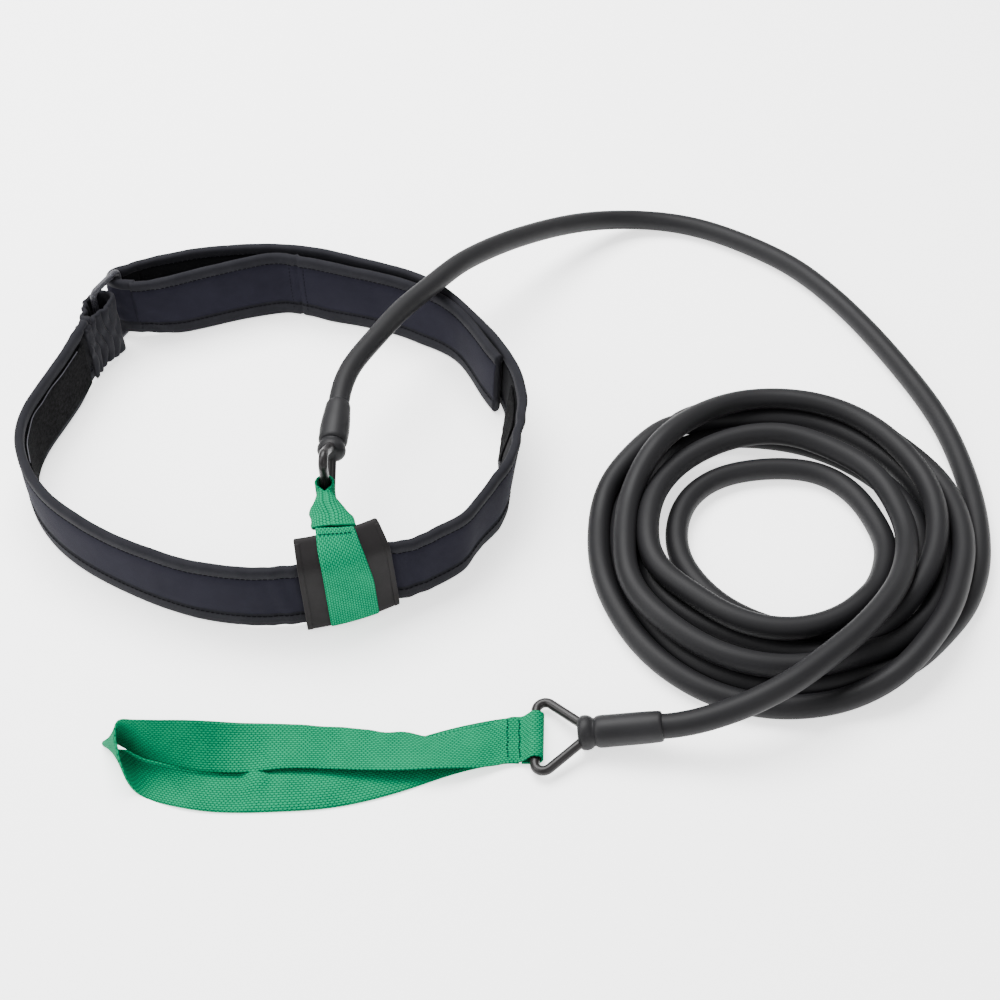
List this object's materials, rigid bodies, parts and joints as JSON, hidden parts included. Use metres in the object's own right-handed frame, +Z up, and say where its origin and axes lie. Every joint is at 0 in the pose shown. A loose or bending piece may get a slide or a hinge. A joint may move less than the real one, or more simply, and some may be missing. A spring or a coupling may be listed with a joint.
{
  "type": "swim resistance belt",
  "caption": "Waist belt closed through a rectangular ring, with a sliding sleeve, a long elastic tube with a triangular ring at each end, and a webbing hand loop.",
  "frame": {"origin": "centre of the plan bounds of the belt and the hand loop, at the floor they stand on", "axes": "+Z up; +X from the belt towards the coiled tube; +Y from the hand loop towards the back of the belt, away from the viewer"},
  "size_m": [0.6056, 0.5137, 0.0864],
  "materials": {
    "foam": "closed-cell foam, matt",
    "navy_face": "knitted fabric, matt",
    "black_lining": "brushed pile, matt",
    "charcoal_binding": "woven edge binding, matt",
    "hook_tape": "hook tape, matt",
    "sleeve_panel": "coated sheet, satin",
    "green_webbing": "woven webbing, satin",
    "tube_rubber": "matt",
    "moulded_rubber": "matt, moulded",
    "coated_ring": "gloss coating",
    "buckle_ring": "sparkling grey coating"
  },
  "bodies": {
    "belt_and_tube": {"belt_core": "foam", "belt_face_panel": "navy_face", "belt_lining": "black_lining", "belt_binding_top": "charcoal_binding", "belt_binding_bottom": "charcoal_binding", "loop_patch": "black_lining", "hook_strip": "hook_tape", "tail_core": "foam", "tail_face_panel": "navy_face", "tail_lining": "black_lining", "tail_binding_top": "charcoal_binding", "tail_binding_bottom": "charcoal_binding", "belt_fold": "navy_face", "buckle_keeper": "charcoal_binding", "tube_bend": "tube_rubber", "tube_arc": "tube_rubber", "tube_coil": "tube_rubber", "tube_lead": "tube_rubber", "tube_end_b": "tube_rubber", "sleeve_b": "moulded_rubber", "end_plug_b": "moulded_rubber", "ring_b": "coated_ring"},
    "sliding_sleeve": {"slider_sleeve": "sleeve_panel", "slider_webbing": "green_webbing", "slider_eye": "green_webbing"},
    "near_fitting": {"ring_a": "coated_ring", "end_plug_a": "moulded_rubber", "sleeve_a": "moulded_rubber", "tube_end_a": "tube_rubber"},
    "buckle": {"buckle_ring": "buckle_ring"},
    "free_end": {"tail_end_core": "foam", "tail_end_face_panel": "navy_face", "tail_end_hook_tape": "hook_tape", "tail_end_binding_top": "charcoal_binding", "tail_end_binding_bottom": "charcoal_binding"},
    "hand_strap": {"hand_loop": "green_webbing"}
  },
  "joints": [
    {"name": "sleeve_travel", "type": "hinge", "parent": "belt_and_tube", "child": "sliding_sleeve", "pos_m": [-0.0009, 0.0602, 0], "axis": [0, 0, 1], "range_deg": [-10, 0], "deforming": ["tube_bend"]},
    {"name": "near_ring_swing", "type": "hinge", "parent": "sliding_sleeve", "child": "near_fitting", "pos_m": [0.0357, -0.0295, 0.0599], "axis": [-0.0048, -0.0874, 0.9962], "range_deg": [-25, 25], "deforming": ["tube_bend"]},
    {"name": "buckle_swing", "type": "hinge", "parent": "belt_and_tube", "child": "buckle", "pos_m": [-0.1344, 0.1543, 0], "axis": [0, 0, 1], "range_deg": [-15, 15], "deforming": ["belt_fold"]},
    {"name": "free_end_peel", "type": "hinge", "parent": "belt_and_tube", "child": "free_end", "pos_m": [-0.00254, 0.19416, 0], "axis": [0, 0, -1], "range_deg": [0, 30]},
    {"name": "hand_loop_lift", "type": "hinge", "parent": "belt_and_tube", "child": "hand_strap", "pos_m": [0.1581, -0.1689, 0.0049], "axis": [0.0349, 0.9994, 0], "range_deg": [0, 110]}
  ]
}
